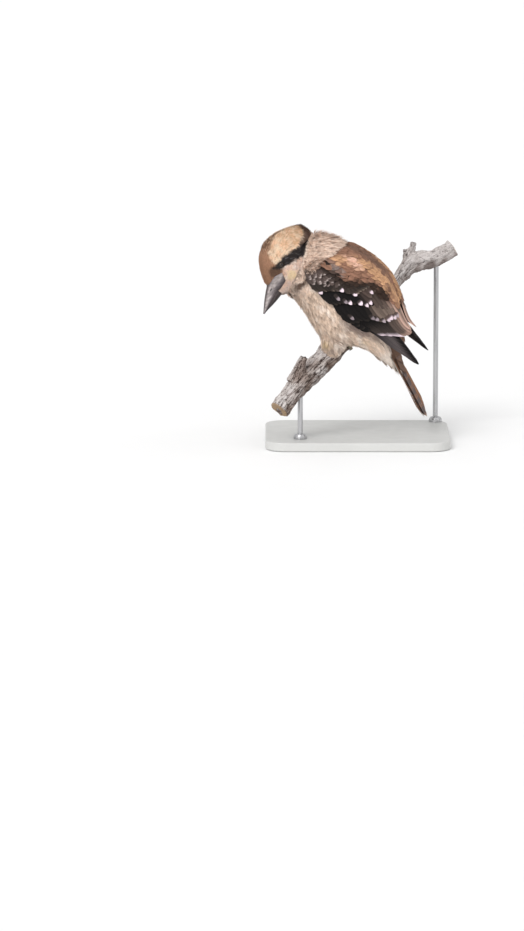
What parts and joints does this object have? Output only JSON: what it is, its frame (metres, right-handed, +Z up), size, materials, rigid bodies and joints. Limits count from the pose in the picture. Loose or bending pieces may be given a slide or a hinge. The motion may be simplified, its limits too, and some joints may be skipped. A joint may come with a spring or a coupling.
{
  "type": "laughing kookaburra model",
  "caption": "Life-size still model of a laughing kookaburra, head bowed, gripping a short cut length of dead branch on a flat stand with two rods.",
  "frame": {"origin": "middle of the flat underside of the stand's base, on the floor", "axes": "+Z up; the picture's camera looks along +Y and slightly down; the bird's head and bill are on the -X side, its left side and back face -Y, and its tail hangs on the +X side"},
  "size_m": [0.2738, 0.1971, 0.2955],
  "materials": {
    "plumage": "soft overlapping feathers, cream and buff below, dark brown and rufous above",
    "horn": "smooth dark grey horn of the bill and claws",
    "eye": "wet, very dark brown",
    "foot_skin": "small scales, olive grey",
    "dead_wood": "weathered grey branch with dark cracks and flaking brown bark",
    "stand_paint": "pale satin paint on the flat base",
    "stand_steel": "plain brushed steel rods with collars"
  },
  "bodies": {
    "root": {"head": "plumage", "neck": "plumage", "torso": "plumage", "tail": "plumage", "wing_left": "plumage", "wing_right": "plumage", "leg_left": "foot_skin", "leg_right": "foot_skin", "eye_left": "eye", "eye_right": "eye", "bill_upper": "horn", "bill_lower": "horn", "perch": "dead_wood", "stand_base": "stand_paint", "stand_rod_1": "stand_steel", "stand_rod_2": "stand_steel"}
  },
  "joints": []
}
